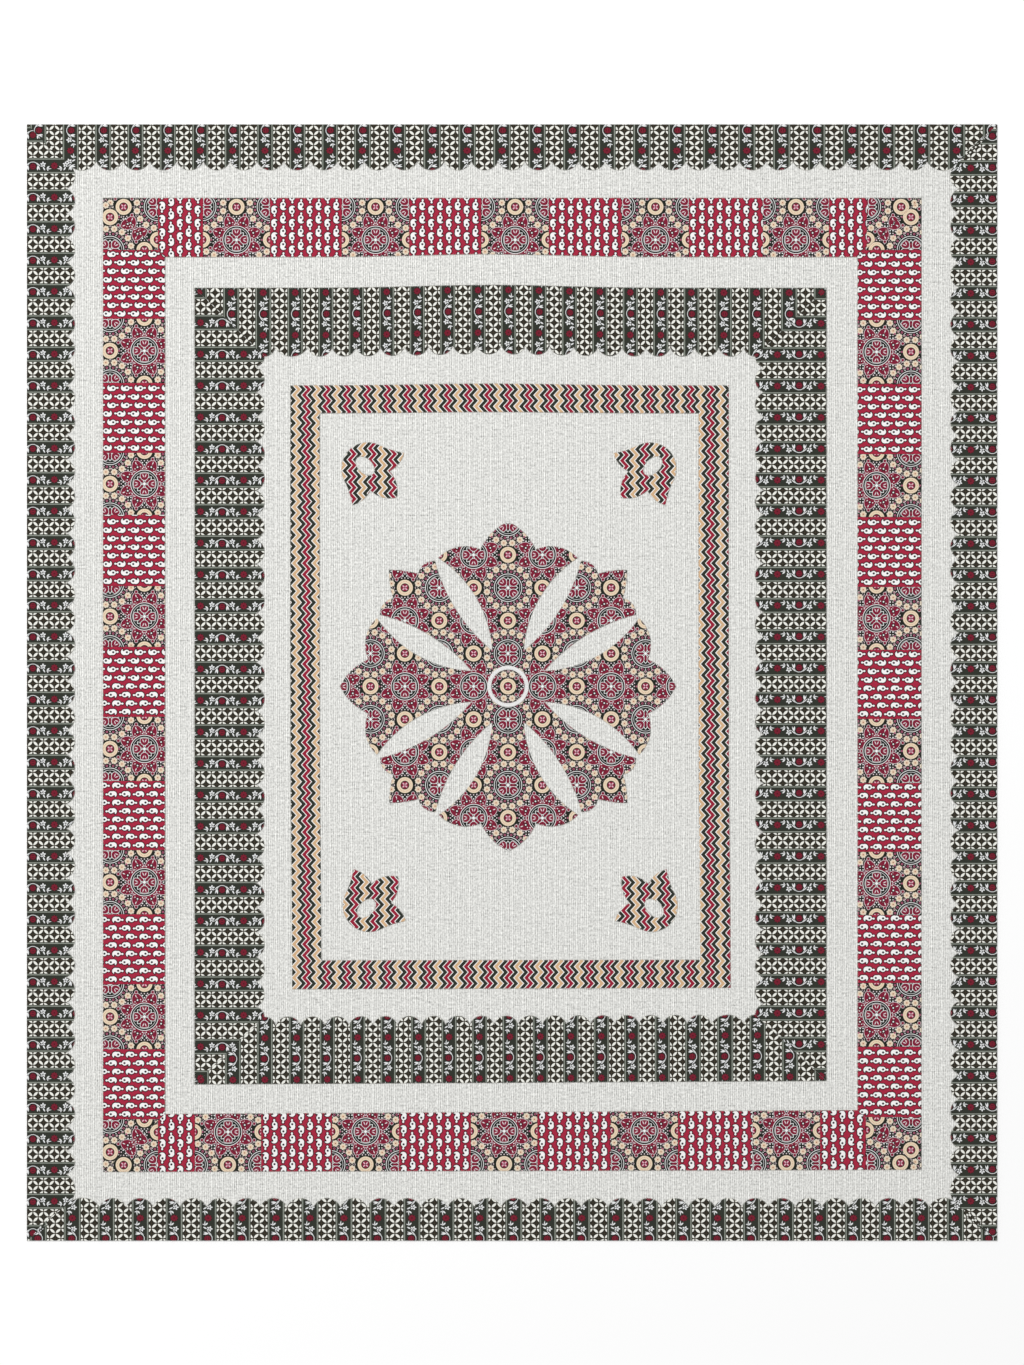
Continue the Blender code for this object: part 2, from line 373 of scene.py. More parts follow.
def lay_print(thing, where):
    """Keep where each corner was on the printed cloth, in metres."""
    place, _, _ = corners(thing.data)
    layer = thing.data.uv_layers.new(name=PRINT_MAP)
    layer.data.foreach_set("uv", np.stack(where(place[:, :2]), axis=1).ravel())


def lay_rows(thing, boxes):
    """Lay the parts of a long cloth that these boxes hold in rows, one above the
    other, on the map that keeps its colours.  The underside gets a narrow share."""
    place, middle, normal = corners(thing.data)
    facing = normal[:, 2]
    wall_foot = (np.abs(facing) < NEARLY_UPRIGHT) & (place[:, 2] < middle[:, 2])
    place = place[:, :2]
    spot = place + normal[:, :2] * np.where(wall_foot, ROW_GAP / 3, 0.0)[:, None]
    sizes = [high - low for low, high in boxes]
    longest = max(max(size) for size in sizes)
    deepest = max(min(size) for size in sizes) + ROW_GAP
    uv = np.zeros((len(place), 2))
    for number, ((low, high), (width, height)) in enumerate(zip(boxes, sizes)):
        held = ((place >= low) & (place <= high)).all(axis=1)
        shift = (spot - low)[held]
        along, across = shift.T if width > height else shift.T[::-1]
        uv[held, 0] = along / longest
        uv[held, 1] = (number + across / deepest) / len(boxes)
    uv = MAP_MARGIN + (1 - 2 * MAP_MARGIN) * uv
    above = UNDERSIDE_SHARE + uv[:, 1] * (1 - UNDERSIDE_SHARE)
    uv[:, 1] = np.where(facing < -NEARLY_UPRIGHT, uv[:, 1] * UNDERSIDE_SHARE, above)
    layer = thing.data.uv_layers.new(name=KEPT_COLOUR_MAP)
    layer.data.foreach_set("uv", uv.ravel())


def inner_borders(boxes):
    """The lines where boxes meet, as creases."""
    creases = []
    for axis in (0, 1):
        edges = {corner[axis] for box in boxes for corner in box}
        creases += [(axis, edge) for edge in sorted(edges)[1:-1]]
    return creases


# --- Shader arithmetic: Python operators that lay down nodes

def set_inputs(node, inputs):
    """Link what other nodes give to a node's inputs, or set them to plain values."""
    for name, item in inputs.items():
        if isinstance(item, Output):
            item = item.socket
        if isinstance(item, bpy.types.NodeSocket):
            node.id_data.links.new(item, node.inputs[name])
        else:
            node.inputs[name].default_value = item


def lay(tree, kind, inputs, **settings):
    """A new node of a kind, with these inputs and settings."""
    node = tree.nodes.new("ShaderNode" + kind)
    for name, setting in settings.items():
        setattr(node, name, setting)
    set_inputs(node, inputs)
    return node


class Output:
    """What a node gives at each point."""

    def __init__(self, socket):
        self.socket = socket
        self.tree = socket.id_data


def operator(operation, swapped=False):
    """A method that lays down a maths node for a Python operator."""
    def method(self, other):
        return calculate(operation, other, self) if swapped else calculate(operation, self, other)
    return method


class Value(Output):
    """A number."""

    __add__ = __radd__ = operator("ADD")
    __sub__ = operator("SUBTRACT")
    __rsub__ = operator("SUBTRACT", swapped=True)
    __mul__ = __rmul__ = operator("MULTIPLY")
    __truediv__ = operator("DIVIDE")

    def __neg__(self):
        return self * -1.0

    def __abs__(self):
        return calculate("ABSOLUTE", self)


def calculate(operation, *items, clamp=False):
    """What a maths node gives for these values and plain numbers."""
    tree = next(item.tree for item in items if isinstance(item, Value))
    node = lay(tree, "Math", dict(enumerate(items)), operation=operation, use_clamp=clamp)
    return Value(node.outputs[0])


def least(*items):
    return reduce(lambda a, b: calculate("MINIMUM", a, b), items)


def most(*items):
    return reduce(lambda a, b: calculate("MAXIMUM", a, b), items)


def centred(value, period):
    """The value's offset from the nearest multiple of the period."""
    return calculate("WRAP", value, period / 2, -period / 2)


def mirrored(value, half_period):
    """The value's distance from the nearest multiple of twice the half period."""
    return calculate("PINGPONG", value, half_period)


def wave(value, period):
    return calculate("SINE", value * (2 * math.pi / period))


class Point(Output):
    """A place on the print."""

    @classmethod
    def at(cls, x, y):
        return cls(lay(x.tree, "CombineXYZ", {0: x, 1: y}).outputs[0])

    def combine(self, operation, x, y):
        """A vector node on the point and a plain vector."""
        return lay(self.tree, "VectorMath", {0: self, 1: (x, y, 0.0)}, operation=operation)

    def to(self, x, y):
        return Value(self.combine("DISTANCE", x, y).outputs["Value"])

    def apart(self):
        node = lay(self.tree, "SeparateXYZ", {0: self})
        return Value(node.outputs[0]), Value(node.outputs[1])


# Shapes of a print.  Each is a number of metres, above 0 inside the shape.

def disc(point, x, y, radius):
    return radius - point.to(x, y)


def ring(point, x, y, radius, width):
    return width / 2 - abs(point.to(x, y) - radius)


def leaf(point, x1, y1, x2, y2, width):
    """Two arcs between two tips."""
    half = math.hypot(x2 - x1, y2 - y1) / 2
    radius = (half * half + width * width / 4) / width
    shift = radius - width / 2
    across = ((y1 - y2) / (2 * half) * shift, (x2 - x1) / (2 * half) * shift)
    x, y = (x1 + x2) / 2, (y1 + y2) / 2
    return least(disc(point, x + across[0], y + across[1], radius),
                 disc(point, x - across[0], y - across[1], radius))


def petals(point, x, y, count, first_degrees=0.0):
    """A point folded into one petal's sector: how far out, and how far to its side."""
    px, py = point.apart()
    dx, dy = px - x, py - y
    angle = calculate("ARCTAN2", dy, dx) - math.radians(first_degrees)
    folded = centred(angle, 2 * math.pi / count)
    reach = point.to(x, y)
    return Point.at(reach * calculate("COSINE", folded), abs(reach * calculate("SINE", folded)))


# --- Prints and cloth materials

INK_EDGE = 0.0006                # over which one colour fades into the next
CRISP, FINE, SOFT, BLURRED = 0.0004, 0.0005, 0.0008, 0.0010
BRIGHTNESS = 1.12                # of a pure white laid on the sheet
MIXED = (6, 7)                   # a mix node's inputs for its two colours
MIX_RESULT = 2
DOT_SCATTER = 0.8
SPECULAR = 0.25
SHEEN_ROUGHNESS = 0.5


def dyed(red, green, blue):
    """The linear colour of a cloth that looks so on screen in this light."""
    linear = (c / 12.92 if c <= 0.04045 else ((c + 0.055) / 1.055) ** 2.4
              for c in (red / 255, green / 255, blue / 255))
    return tuple(c / BRIGHTNESS for c in linear) + (1.0,)


class Cloth:
    """A fabric material, painted one colour over another."""

    def __init__(self, name, ground):
        self.material = bpy.data.materials.new(name)
        self.material.use_nodes = True
        self.tree = self.material.node_tree
        self.point = Point(lay(self.tree, "UVMap", {}, uv_map=PRINT_MAP).outputs["UV"])
        self.x, self.y = self.point.apart()
        self.colour = dyed(*ground)

    def mix(self, factor, colour, blend="MIX"):
        """Blend a colour into the one so far."""
        inputs = {0: factor, MIXED[0]: self.colour, MIXED[1]: colour}
        node = lay(self.tree, "Mix", inputs, data_type="RGBA", blend_type=blend)
        self.colour = node.outputs[MIX_RESULT]

    def paint(self, shape, colour, edge=INK_EDGE):
        """Lay a colour on where the shape is above 0."""
        self.mix(calculate("MULTIPLY_ADD", shape, 1 / edge, 0.5, clamp=True), dyed(*colour))

    def discs(self, point, *rows, edge=INK_EDGE):
        """Lay on discs, told by their places, radii and colours."""
        for x, y, radius, colour in rows:
            self.paint(disc(point, x, y, radius), colour, edge)

    def stripes(self, position, bands):
        """Lay on stripes, told by their widths and colours, along a position of 0 to 1."""
        node = lay(self.tree, "ValToRGB", {"Fac": position})
        ramp = node.color_ramp
        ramp.interpolation = "CONSTANT"
        while len(ramp.elements) < len(bands):
            ramp.elements.new(1.0)
        whole = sum(width for width, _ in bands)
        start = 0.0
        for stop, (width, colour) in zip(ramp.elements, bands):
            stop.position = start / whole
            stop.color = dyed(*colour)
            start += width
        self.colour = node.outputs["Color"]

    def speckle(self, spacing, radius, colour, within=None):
        """Scatter dots, about so far apart."""
        inputs = {"Vector": self.point, "Scale": 1 / spacing, "Randomness": DOT_SCATTER}
        node = lay(self.tree, "TexVoronoi", inputs)
        dots = radius - Value(node.outputs["Distance"]) * spacing
        self.paint(least(dots, within) if within else dots, colour)

    def noise(self, scale, detail=1.0, stretch=(1.0, 1.0)):
        """Noise of about 0 to 1 with so many features a metre."""
        moved = self.point.combine("MULTIPLY", *stretch).outputs["Vector"]
        inputs = {"Vector": moved, "Scale": scale, "Detail": detail}
        return Value(lay(self.tree, "TexNoise", inputs).outputs["Fac"])

    def shade(self, amount):
        """Multiply the colour by a grey worked out at each point."""
        grey = lay(self.tree, "CombineColor", dict.fromkeys(range(3), amount))
        self.mix(1.0, grey.outputs[0], "MULTIPLY")

    def finish(self, height, depth, roughness=0.88, sheen=0.15):
        """Wire the colour and the relief, whose height is 0 to 1, into the shader."""
        bump = lay(self.tree, "Bump", {"Height": height, "Distance": depth})
        set_inputs(self.tree.nodes["Principled BSDF"], {
            "Base Color": self.colour, "Normal": bump.outputs["Normal"], "Roughness": roughness,
            "Specular IOR Level": SPECULAR, "Sheen Weight": sheen,
            "Sheen Roughness": SHEEN_ROUGHNESS})
        return self.material


PRINTED_WEAVE = 0.0011           # from a thread to the next but one
BASE_WEAVE = 0.0017
CLOTH_RELIEF = 0.0012
SATIN_STITCHES = 230             # round the medallion's ring
THREAD_PLY = 0.0009


def plain_weave(c, pitch):
    """Threads going over and under each other: 0 to 1."""
    return wave(c.x, pitch) * wave(c.y, pitch) * 0.5 + 0.5


def woven_finish(c, fading=0.10):
    """The wear and weave of a printed cotton: fine fading, broad fading and puckers."""
    c.shade(1.0 - fading * c.noise(900.0))
    c.shade(1.05 - fading * c.noise(40.0, 2.0))
    pucker = c.noise(45.0)
    return c.finish(plain_weave(c, PRINTED_WEAVE) * 0.12 + pucker * 0.88, CLOTH_RELIEF)


# The striped cloth.  Its bands run from the strip's outer edge inwards: floral
# ones, whose half repeat goes from a rose to a star, and lattices between them.
STRIPE_PITCH = 0.0739
FLORAL_REPEAT = 0.0505           # from a rose to the next star
BAND_SHIFT = 0.0009              # of the bands' edges, off their roses' middles
FLORAL_HALF = 0.0141             # of a floral band's width
LATTICE_HALF = 0.0124            # of the lattice's square across its band
LATTICE_EDGE = 0.0180            # from its band's middle
PETAL_REACH = 0.415              # in squares, from a petal's middle
PETAL_HALF_WIDTH = 0.158
ROSE_PLACE = (0.0, -0.0007)
BLOSSOM_PLACE = (0.0240, 0.0042)
STAR_PLACE = (0.0505, 0.0010)
VINE_LEAVES = (                  # from tip to tip, and the width
    (0.0085, 0.0085, 0.0190, -0.0012, 0.0020), (0.0122, 0.0020, 0.0108, -0.0100, 0.0040),
    (0.0122, 0.0022, 0.0166, -0.0096, 0.0024), (0.0236, -0.0014, 0.0286, -0.0100, 0.0032),
    (0.0325, -0.0056, 0.0390, 0.0002, 0.0034), (0.0310, -0.0070, 0.0440, -0.0056, 0.0020),
    (0.0340, -0.0072, 0.0358, -0.0114, 0.0021))


def striped_cloth():
    c = Cloth("striped_cotton", (38, 34, 24))
    u = mirrored(c.y, FLORAL_REPEAT)
    v = centred(c.x, STRIPE_PITCH)
    off_middle = abs(centred(c.x - BAND_SHIFT, STRIPE_PITCH))
    paint_lattice(c, u, STRIPE_PITCH / 2 - off_middle)
    c.paint(FLORAL_HALF - off_middle, (46, 50, 41))
    p = Point.at(u, v)
    paint_vine(c, p, v)
    paint_rose_and_star(c, p)
    return woven_finish(c)


def lattice_petal(along, across):
    """Above 0 in a petal, from how far a point is from its tip and off its middle line."""
    return 1.0 - calculate("POWER", (0.5 - along) / PETAL_REACH, 2.0) - across / PETAL_HALF_WIDTH


def paint_lattice(c, u, from_middle):
    """Petals between diagonal neighbours of a square lattice, and a line at its edge."""
    across = from_middle / LATTICE_HALF
    down = u / (FLORAL_REPEAT / 4)
    off_a = abs(centred((across + down + 1.0) * 0.5, 1.0))
    off_b = abs(centred((across - down + 1.0) * 0.5, 1.0))
    c.paint((0.022 - abs(off_a - off_b)) * 0.017, (84, 75, 56), SOFT)
    petal = most(lattice_petal(off_a, off_b), lattice_petal(off_b, off_a)) * 0.003
    c.paint(least(petal + 0.0005, LATTICE_EDGE + 0.0004 - from_middle), (26, 22, 15))
    c.paint(least(petal, LATTICE_EDGE - from_middle), (255, 255, 246), CRISP)
    c.paint(0.0018 - abs(from_middle - 0.0207), (100, 106, 95))
    c.paint(0.0006 - abs(from_middle - 0.0212), (168, 174, 164))


def paint_vine(c, p, height):
    """A curved stem over the rose, leaves, and a five-petalled blossom."""
    white, dark = (246, 248, 248), (26, 25, 21)
    stem = least(ring(p, 0.0010, -0.0010, 0.0108, 0.0013), height - 0.0020)
    vine = most(stem, *(leaf(p, *row) for row in VINE_LEAVES))
    c.paint(vine + 0.0006, dark, SOFT)
    c.paint(vine, white, FINE)
    c.paint(disc(p, *BLOSSOM_PLACE, 0.0064), dark, SOFT)
    c.paint(leaf(petals(p, *BLOSSOM_PLACE, 5, 20.0), 0.0010, 0.0, 0.0068, 0.0, 0.0036), white, FINE)
    c.paint(disc(p, 0.0232, 0.0026, 0.0013), (84, 86, 84), SOFT)


def paint_rose_and_star(c, p):
    """A rose at the origin, and an eight-pointed star at the other end."""
    c.paint(disc(p, *ROSE_PLACE, 0.0086), (26, 12, 14))
    c.paint(disc(petals(p, *ROSE_PLACE, 9, 90.0), 0.0055, 0.0, 0.0020), (116, 18, 40), SOFT)
    c.paint(disc(p, *ROSE_PLACE, 0.0053), (128, 22, 44), SOFT)
    c.paint(leaf(p, -0.0042, 0.0016, 0.0038, 0.0024, 0.0018), (62, 8, 22), SOFT)
    c.paint(leaf(p, -0.0030, -0.0036, 0.0042, -0.0026, 0.0016), (66, 8, 22), SOFT)
    c.paint(disc(p, *STAR_PLACE, 0.0082), (32, 12, 16), BLURRED)
    c.paint(leaf(petals(p, *STAR_PLACE, 8), 0.0, 0.0, 0.0086, 0.0, 0.0048), (126, 20, 44))
    c.paint(disc(p, *STAR_PLACE, 0.0020), (84, 10, 28), BLURRED)


# The paisley cloth: columns of droplets, upright and upside down by turns.
DROPLET_COLUMN = 0.0209
DROPLET_PITCH = 0.0313
TURNED_DROPLET = 0.0168          # height of an upside-down one's eye over an upright one's
DROPLET_MIDDLE = 0.0012          # of its column's cell, over its eye


def paisley_cloth():
    c = Cloth("paisley_cotton", (174, 34, 64))
    c.shade(1.18 - 0.40 * c.noise(260.0, 2.0))
    upright = calculate("LESS_THAN", abs(centred(c.x, 2 * DROPLET_COLUMN)), DROPLET_COLUMN / 2)
    x = centred(c.x, DROPLET_COLUMN)
    y = c.y * (upright * 2.0 - 1.0) + TURNED_DROPLET * (1.0 - upright)
    y = centred(y - DROPLET_MIDDLE, DROPLET_PITCH) + DROPLET_MIDDLE
    p = Point.at(x, y)
    head = disc(p, -0.0004, 0.0005, 0.0063)
    tail = least(disc(p, 0.0008, 0.0058, 0.0078), -disc(p, 0.0094, 0.0044, 0.0060))
    neck = least(0.0014 - abs(x - 0.0006), 0.0029 - abs(y + 0.0070))
    droplet = most(head, tail, neck, disc(p, 0.0008, -0.0098, 0.0024))
    c.paint(droplet + 0.0022, (52, 4, 18), 0.0012)
    c.paint(droplet, (255, 254, 253), FINE)
    c.paint(disc(p, 0.0047, 0.0076, 0.0021), (52, 8, 22), BLURRED)
    c.paint(disc(p, 0.0, 0.0, 0.0026), (40, 44, 48), SOFT)
    return woven_finish(c, fading=0.06)


# The chevron cloth: upright stripes that swing to the left and right.
CHEVRON_ACROSS = 0.0476
CHEVRON_DOWN = 0.0264
CHEVRON_SWING = 0.0122
CRIMSON = (158, 24, 54)
TAN = (222, 184, 142)
BLACK_GREEN = (43, 47, 38)
INK_WHITE = (255, 255, 252)
CHEVRON_STRIPES = (
    (0.0093, CRIMSON), (0.0026, INK_WHITE), (0.0096, BLACK_GREEN), (0.0026, INK_WHITE),
    (0.0087, TAN), (0.0026, INK_WHITE), (0.0096, BLACK_GREEN), (0.0026, INK_WHITE))


def chevron_cloth():
    """Its print's origin is a crimson stripe's middle where it swings furthest left."""
    c = Cloth("chevron_cotton", CRIMSON)
    swing = mirrored(c.y, CHEVRON_DOWN / 2) * (2 * CHEVRON_SWING / CHEVRON_DOWN) - CHEVRON_SWING / 2
    across = (c.x - swing + CHEVRON_STRIPES[0][0] / 2) / CHEVRON_ACROSS
    c.stripes(calculate("FRACT", across), CHEVRON_STRIPES)
    return woven_finish(c, fading=0.08)


# The mandala cloth: a lattice of round flowers, with two kinds of star between them.
# Its print's origin is a round flower's centre; the first star is to its right.
LATTICE_ACROSS = 0.081
LATTICE_DOWN = 0.0775
WHEEL_FLORET = 0.0505            # from its wheel's middle
CREAM = (241, 221, 192)
BUD_CREAM = (236, 224, 204)
PINK = (182, 94, 124)
PALE_PINK = (244, 226, 230)
RED = (130, 18, 50)
MANDALA_GREEN = (24, 29, 21)
DEEP_GREEN = (22, 27, 19)
LINE_WHITE = (255, 255, 254)


def mandala_cloth():
    c = Cloth("mandala_cotton", MANDALA_GREEN)
    p = Point.at(mirrored(c.x, LATTICE_ACROSS), mirrored(c.y, LATTICE_DOWN))
    c.speckle(0.0064, 0.0012, PALE_PINK)
    paint_florets(c, p)
    paint_star(c, p)
    paint_wheel(c, p, LATTICE_ACROSS, 0.0, 0.0)
    paint_wheel(c, p, 0.0, LATTICE_DOWN, 45.0)
    for x, y, turn in ((0.0, 0.0, 1), (LATTICE_ACROSS, LATTICE_DOWN, -1)):
        paint_round_flower(c, p, x, y, turn)
    return woven_finish(c, fading=0.05)


def paint_florets(c, p):
    """The ring of cream florets and small buds round a wheel."""
    q = petals(p, 0.0, LATTICE_DOWN, 16)
    c.discs(q, (0.0425, 0.0, 0.0026, PALE_PINK), (0.0430, 0.0, 0.0017, RED),
            (0.0368, 0.0, 0.0012, LINE_WHITE))
    c.paint(ring(q, 0.0540, 0.0, 0.0026, 0.0010), PALE_PINK)
    q = petals(p, 0.0, LATTICE_DOWN, 16, 11.25)
    c.discs(q, (0.0382, 0.0, 0.0027, PINK), (0.0382, 0.0, 0.0012, MANDALA_GREEN),
            (WHEEL_FLORET, 0.0, 0.0092, DEEP_GREEN))
    floret = petals(q, WHEEL_FLORET, 0.0, 7)
    lobes = disc(floret, 0.0054, 0.0, 0.0026)
    c.paint(most(disc(q, WHEEL_FLORET, 0.0, 0.0060), lobes), BUD_CREAM)
    c.paint(disc(q, WHEEL_FLORET, 0.0, 0.0044), (236, 206, 176), 0.0020)
    c.paint(disc(q, WHEEL_FLORET, 0.0, 0.0013), (126, 44, 40))


def paint_star(c, p):
    """The eight petals that stand round a wheel."""
    q = petals(p, LATTICE_ACROSS, 0.0, 8)
    c.discs(q, (0.0490, 0.0, 0.0090, MANDALA_GREEN), (0.0500, 0.0046, 0.0016, LINE_WHITE),
            (0.0450, 0.0, 0.0015, LINE_WHITE), (0.0405, 0.0, 0.0013, PINK),
            (0.0545, 0.0, 0.0014, PALE_PINK), (0.0550, 0.0074, 0.0014, PALE_PINK),
            (0.0600, 0.0, 0.0022, PINK))
    q = petals(p, LATTICE_ACROSS, 0.0, 8, 22.5)
    petal = most(leaf(q, 0.0220, 0.0, 0.0605, 0.0, 0.0262), 0.0375 - p.to(LATTICE_ACROSS, 0.0))
    c.paint(petal + 0.0007, PALE_PINK, CRISP)
    c.paint(petal - 0.0003, RED, CRISP)
    c.speckle(0.0066, 0.0014, MANDALA_GREEN, within=petal - 0.0012)
    c.speckle(0.0058, 0.0010, PALE_PINK, within=petal - 0.0012)
    c.paint(leaf(q, 0.0490, 0.0, 0.0560, 0.0, 0.0020), LINE_WHITE)
    c.discs(q, (0.0425, 0.0, 0.0040, DEEP_GREEN), (0.0425, 0.0, 0.0018, LINE_WHITE),
            (0.0410, 0.0070, 0.0012, LINE_WHITE), (0.0355, 0.0098, 0.0013, LINE_WHITE))


def paint_wheel(c, p, x, y, turn):
    """A ringed circle of four large and four small red petals."""
    c.discs(p, (x, y, 0.0331, LINE_WHITE), (x, y, 0.0317, (8, 12, 8)),
            (x, y, 0.0281, LINE_WHITE), (x, y, 0.0273, (18, 23, 16)), edge=CRISP)
    q = petals(p, x, y, 4, turn + 45.0)
    for inner, outer, width, colour in ((0.0010, 0.0240, 0.0112, LINE_WHITE),
                                        (0.0024, 0.0224, 0.0084, MANDALA_GREEN),
                                        (0.0036, 0.0180, 0.0060, RED)):
        c.paint(leaf(q, inner, 0.0, outer, 0.0, width), colour, CRISP)
    q = petals(p, x, y, 4, turn)
    heart = least(leaf(q, 0.0080, 0.0, 0.0310, 0.0, 0.0200), disc(p, x, y, 0.0258))
    c.paint(heart + 0.0006, LINE_WHITE, CRISP)
    c.paint(heart - 0.0004, RED, CRISP)
    c.paint(leaf(q, 0.0150, 0.0010, 0.0232, 0.0046, 0.0022), PALE_PINK)
    c.paint(disc(p, x, y, 0.0030), LINE_WHITE)


def paint_round_flower(c, p, x, y, turn):
    """A cream ring with a red middle, and a bud towards each of its diagonals."""
    for down in (1, -1):
        bud = (x + turn * 0.0194, y + turn * down * 0.0194)
        c.discs(p, (*bud, 0.0042, PALE_PINK), (*bud, 0.0033, RED))
    c.discs(p, (x, y, 0.0198, DEEP_GREEN), (x, y, 0.0187, CREAM))
    c.paint(disc(petals(p, x, y, 24), 0.0146, 0.0, 0.0009), (200, 146, 112))
    c.discs(p, (x, y, 0.0104, (36, 34, 26)), (x, y, 0.0082, (140, 26, 58)))
    c.paint(leaf(petals(p, x, y, 4, 45.0), 0.0010, 0.0, 0.0080, 0.0, 0.0032), (240, 190, 204))
    c.paint(disc(p, x, y, 0.0016), (60, 10, 26))


# The base: a slub cotton with rows of dark dashes and a paler thread every so far.
SLUB_ROW = 0.0074
SLUB_CHECK = 0.0253
WARP_COUNT = 5                   # heavier threads to a check


def slub_cloth():
    c = Cloth("slub_cotton", (224, 224, 220))
    x = c.x + 0.004 * (c.noise(9.0) - 0.5)
    y = c.y + 0.006 * (c.noise(14.0, stretch=(0.4, 1.0)) - 0.5)
    row = wave(y, SLUB_ROW)
    dash = (c.noise(56.0, stretch=(0.8, 2.6)) - 0.40) * 3.0
    dash = least(most(dash, 0.0), 1.0) * most(row, 0.0)
    pale = 1.0 - abs(centred(x, SLUB_CHECK)) / 0.0015
    half_pale = 0.5 - abs(centred(x + SLUB_CHECK / 2, SLUB_CHECK)) / 0.0030
    pale = most(pale, half_pale, 0.0) * (0.4 + c.noise(30.0))
    warp = wave(x, SLUB_CHECK / WARP_COUNT) * (c.noise(60.0, stretch=(1.0, 0.5)) - 0.2)
    grain = c.noise(270.0, stretch=(1.0, 0.7)) - 0.5
    weave = plain_weave(c, BASE_WEAVE)
    c.shade(1.06 - 0.36 * dash + 0.05 * row + 0.34 * pale + 0.55 * warp + 1.15 * grain)
    # Painted shade: the colour is darker in the hollows between the weave's threads and lighter on
    # their crests, matching the weave in the relief
    c.shade(0.93 + 0.11 * weave)
    relief = 0.5 + 0.3 * grain - 0.2 * dash + 0.1 * warp
    return c.finish(0.10 * weave + 0.90 * relief, CLOTH_RELIEF)


def satin_cloth():
    """Dense white stitches that stand across the ring, with painted shade in the grooves between
    them.
    """
    c = Cloth("white_satin_stitch", (266, 266, 265))
    angle = calculate("ARCTAN2", c.y, c.x)
    stitch = wave(angle, 2 * math.pi / SATIN_STITCHES) * 0.5 + 0.5
    # Painted shade: darker in the grooves between the stitches, which the relief also shows
    c.shade(0.95 + 0.08 * stitch)
    c.shade(1.02 - 0.04 * c.noise(300.0))
    return c.finish(stitch, 0.0005, roughness=0.6, sheen=0.25)


def thread_cloth():
    """Twisted cotton thread, with painted shade in the grooves between its plies."""
    c = Cloth("cotton_thread", (244, 242, 234))
    ply = wave(c.x + c.y, THREAD_PLY) * 0.5 + 0.5
    # Painted shade: darker in the grooves between the plies, which the relief also shows
    c.shade(0.88 + 0.12 * ply)
    c.shade(1.04 - 0.12 * c.noise(25.0))
    return c.finish(ply, 0.0002, roughness=0.65, sheen=0.2)


# --- The sheet's pieces

def add_cloth(name, node, loops, print_, where,
              profile=TURNED_EDGE, spacing=APPLIQUE_GRID, creases=(), boxes=()):
    """One cloth on its node, told as the sheet it was cut as.  where gives the points'
    places on the print, and the boxes are the parts that it keeps its colours in."""
    low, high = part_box(node)
    made = cloth(name, loops, low.z, high.z - low.z, profile, spacing, creases)
    lay_print(made, where)
    if boxes:
        lay_rows(made, boxes)
    made.data.materials.append(CLOTHS[print_])
    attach(made, "root")
    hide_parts(node)


def add_applique(node, print_, where, boxes=()):
    """The whole sewn-on cloth of a node."""
    loops = [smoothed(loop) for loop in outlines(node)]
    add_cloth(node + "_cloth", node, loops, print_, where,
              creases=inner_borders(boxes), boxes=boxes)


def add_base():
    loops = [smoothed(loop) for loop in outlines("base_sheet")]
    add_cloth("base_cloth", "base_sheet", loops, "slub", measured_from((0.0, 0.0)),
              PLAIN_EDGE, BASE_GRID)


def wide_box(node):
    """The low and high corners of a node's box from above, a little widened."""
    low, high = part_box(node)
    return np.array(low[:2]) - BOX_MARGIN, np.array(high[:2]) + BOX_MARGIN


def boxes_between(columns, rows):
    """The boxes of a grid, told by its lines across and up."""
    return [(np.array((left, bottom)), np.array((right, top)))
            for left, right in zip(columns, columns[1:]) for bottom, top in zip(rows, rows[1:])]


def strip_boxes(node, count):
    """A strip's box in equal parts along it."""
    low, high = wide_box(node)
    parts = np.where(high - low == max(high - low), count, 1)
    return boxes_between(*(np.linspace(a, b, part + 1) for a, b, part in zip(low, high, parts)))


# Where the bands of the striped print lie along each strip: some of them, by
# number and place, then how far in from the strip's outer edge its roses are,
# and how far it is there from a rose to a star.
StripPrint = namedtuple("StripPrint", "bands places rose repeat")
OUTER_PRINT = {
    "top": StripPrint((0, 9, 25), (-1.039, -0.352, 0.966), 0.0142, 0.0478),
    "bottom": StripPrint((0, 26), (-1.037, 1.0435), 0.0050, 0.0482),
    "left": StripPrint((0, 32), (1.2165, -1.149), 0.0142, 0.0505),
    "right": StripPrint((0, 33), (1.213, -1.221), 0.0113, 0.0508),
}
INNER_PRINT = {
    "top": StripPrint((0, 3, 16, 19), (-0.7365, -0.5095, 0.423, 0.654), 0.0618, 0.0500),
    "bottom": StripPrint((0, 2, 15, 18), (-0.6585, -0.508, 0.425, 0.654), 0.0596, 0.0490),
    "left": StripPrint((0, 23), (0.847, -0.859), 0.0650, 0.0508),
    "right": StripPrint((0, 22), (0.847, -0.778), 0.0643, 0.0515),
}


def spread(value, knots, values):
    """Like np.interp, and straight on past the ends."""
    order = np.argsort(knots)
    knots, values = np.asarray(knots, float)[order], np.asarray(values, float)[order]
    result = np.interp(value, knots, values)
    for end, inner, past in ((0, 1, value < knots[0]), (-1, -2, value > knots[-1])):
        slope = (values[end] - values[inner]) / (knots[end] - knots[inner])
        result = np.where(past, values[end] + (value - knots[end]) * slope, result)
    return result


def along_and_across(points, side):
    """The points' places along a strip and across it."""
    return points.T[::-1] if side in UPRIGHT else points.T


def outer_edge(node, side):
    """What gives, for a place along a strip, where its outer edge is across it."""
    along, across = along_and_across(outlines(node)[0], side)
    extreme = across.max() if side in ("top", "right") else across.min()
    edge = np.abs(across - extreme) < MOST_BEND
    order = np.argsort(along[edge])
    return lambda value: np.interp(value, along[edge][order], across[edge][order])


